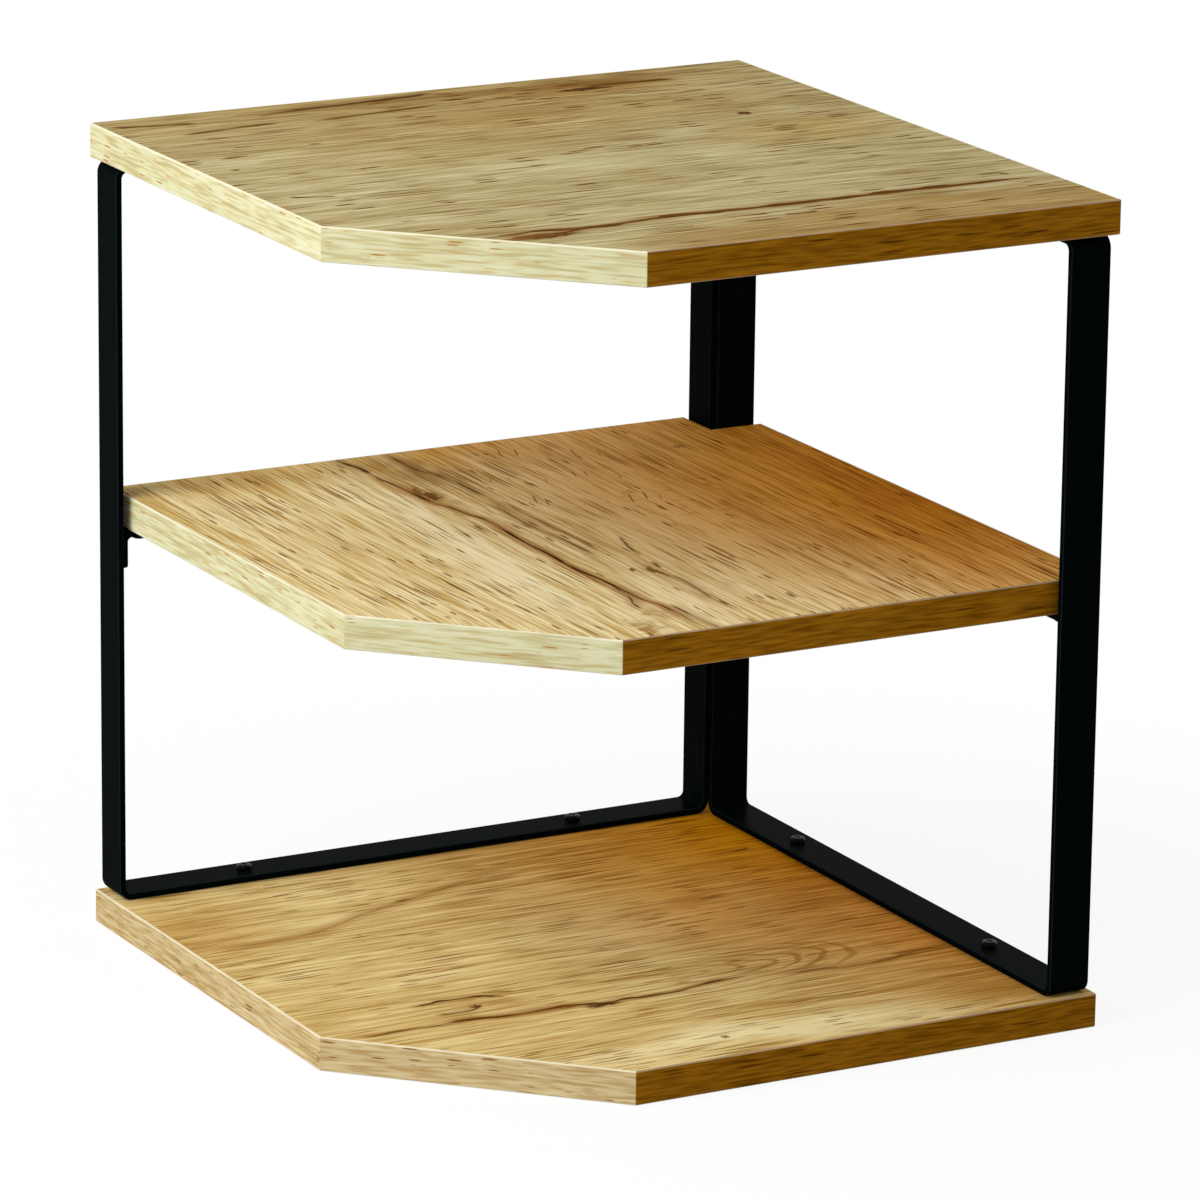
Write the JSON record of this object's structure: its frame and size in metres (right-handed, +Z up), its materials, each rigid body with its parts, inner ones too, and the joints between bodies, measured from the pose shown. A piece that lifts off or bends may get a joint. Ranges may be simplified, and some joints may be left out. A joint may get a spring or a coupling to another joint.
{
  "type": "countertop corner shelf",
  "caption": "Corner shelf for a worktop: oak-print boards with a cut front corner on black flat-bar side frames, with a notched middle board on angle brackets.",
  "frame": {"origin": "on the worktop, in the middle of the shelf's square plan", "axes": "+Z up; the walls stand on the +X and +Y sides, and the cut front corner points to -X, -Y"},
  "size_m": [0.325, 0.325, 0.365],
  "materials": {
    "printed_oak_board": "melamine-faced chipboard with a rustic oak print, satin, with a fine pore texture",
    "oak_edge_band": "oak print edge band, satin, arrises slightly rounded",
    "black_powder_coat": "black powder coat on bent flat steel bar, satin",
    "black_zinc": "black zinc plated steel, satin"
  },
  "bodies": {
    "root": {"bottom_board": "printed_oak_board", "middle_board": "printed_oak_board", "top_board": "printed_oak_board", "bottom_board_left_band": "oak_edge_band", "bottom_board_cut_band": "oak_edge_band", "bottom_board_right_band": "oak_edge_band", "bottom_board_left_wall_band": "oak_edge_band", "bottom_board_right_wall_band": "oak_edge_band", "middle_board_left_band": "oak_edge_band", "middle_board_cut_band": "oak_edge_band", "middle_board_right_band": "oak_edge_band", "middle_board_left_wall_band": "oak_edge_band", "middle_board_right_wall_band": "oak_edge_band", "top_board_left_band": "oak_edge_band", "top_board_cut_band": "oak_edge_band", "top_board_right_band": "oak_edge_band", "top_board_left_wall_band": "oak_edge_band", "top_board_right_wall_band": "oak_edge_band", "left_frame": "black_powder_coat", "right_frame": "black_powder_coat", "front_left_shelf_bracket": "black_powder_coat", "rear_left_shelf_bracket": "black_powder_coat", "front_right_shelf_bracket": "black_powder_coat", "rear_right_shelf_bracket": "black_powder_coat", "front_left_bottom_rail_screw": "black_zinc", "rear_left_bottom_rail_screw": "black_zinc", "front_right_bottom_rail_screw": "black_zinc", "rear_right_bottom_rail_screw": "black_zinc", "front_left_top_rail_screw": "black_zinc", "rear_left_top_rail_screw": "black_zinc", "front_right_top_rail_screw": "black_zinc", "rear_right_top_rail_screw": "black_zinc", "front_left_shelf_screw": "black_zinc", "rear_left_shelf_screw": "black_zinc", "front_right_shelf_screw": "black_zinc", "rear_right_shelf_screw": "black_zinc", "front_left_bracket_screw": "black_zinc", "rear_left_bracket_screw": "black_zinc", "front_right_bracket_screw": "black_zinc", "rear_right_bracket_screw": "black_zinc"}
  },
  "joints": []
}
